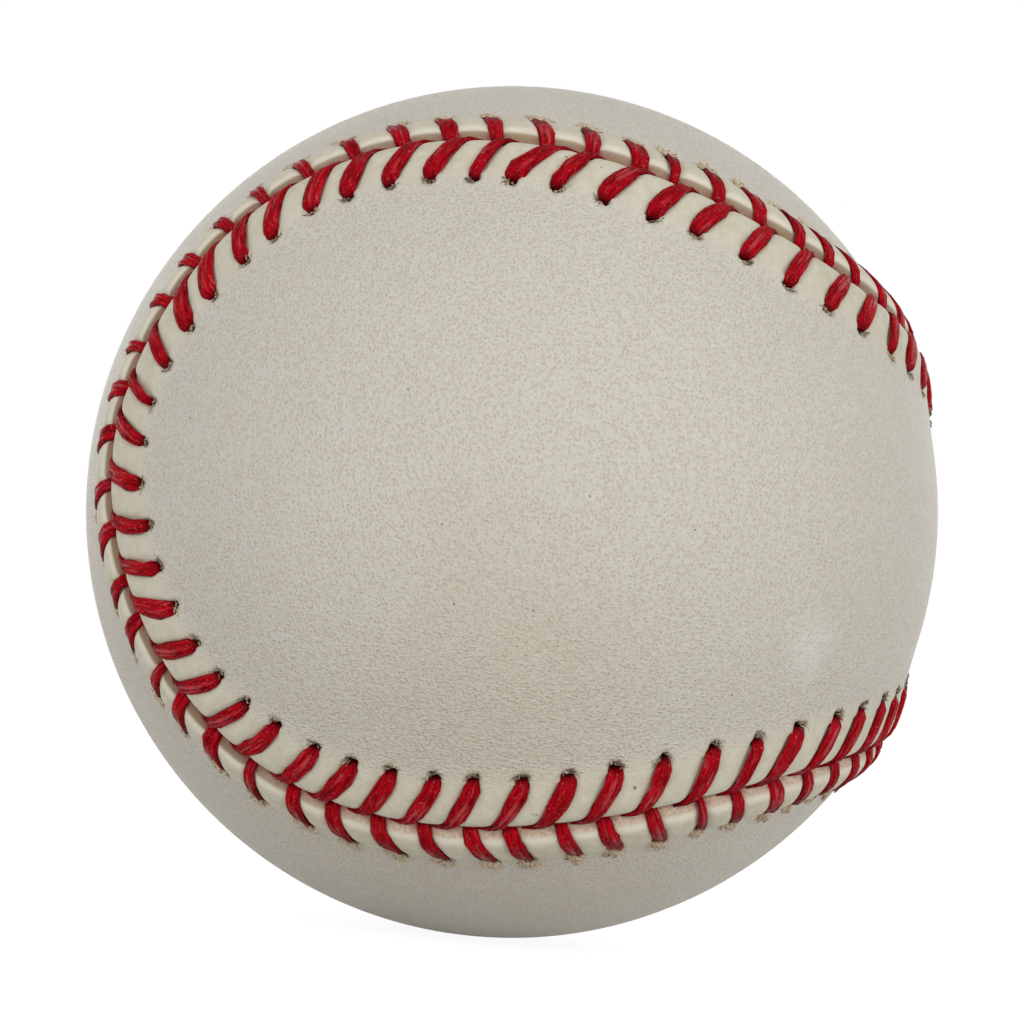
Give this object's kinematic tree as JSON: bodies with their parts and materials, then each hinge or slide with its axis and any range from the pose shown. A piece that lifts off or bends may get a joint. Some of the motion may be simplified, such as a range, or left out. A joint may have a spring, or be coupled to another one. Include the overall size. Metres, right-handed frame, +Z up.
{
  "type": "baseball",
  "caption": "Leather baseball with a cushioned cork centre in yarn windings and white figure-eight cover panels laced along a raised seam with red thread, for throwing and batting",
  "frame": {"origin": "centre of the ball", "axes": "+X points through the middle of the right cover panel's neck, -Y to the middle of its front lobe, as in the picture, and +Z up through a lobe of the left cover panel"},
  "size_m": [0.0744, 0.0744, 0.0744],
  "materials": {
    "cork": "ground composition cork",
    "black_rubber": "moulded, matt",
    "red_rubber": "moulded, matt",
    "grey_wool": "wound wool yarn",
    "white_wool": "wound wool yarn",
    "white_cotton": "wound fine poly-cotton yarn with rubber cement",
    "white_leather": "alum-tanned full-grain cowhide, satin, fine pores",
    "red_thread": "waxed cotton thread, slight gloss"
  },
  "bodies": {
    "root": {"cork_core": "cork", "upper_rubber_cup": "black_rubber", "lower_rubber_cup": "black_rubber", "rubber_washer": "red_rubber", "red_rubber_shell": "red_rubber", "first_winding": "grey_wool", "second_winding": "white_wool", "third_winding": "grey_wool", "finish_winding": "white_cotton", "right_cover_panel": "white_leather", "left_cover_panel": "white_leather", "right_stitches": "red_thread", "left_stitches": "red_thread"}
  },
  "joints": []
}
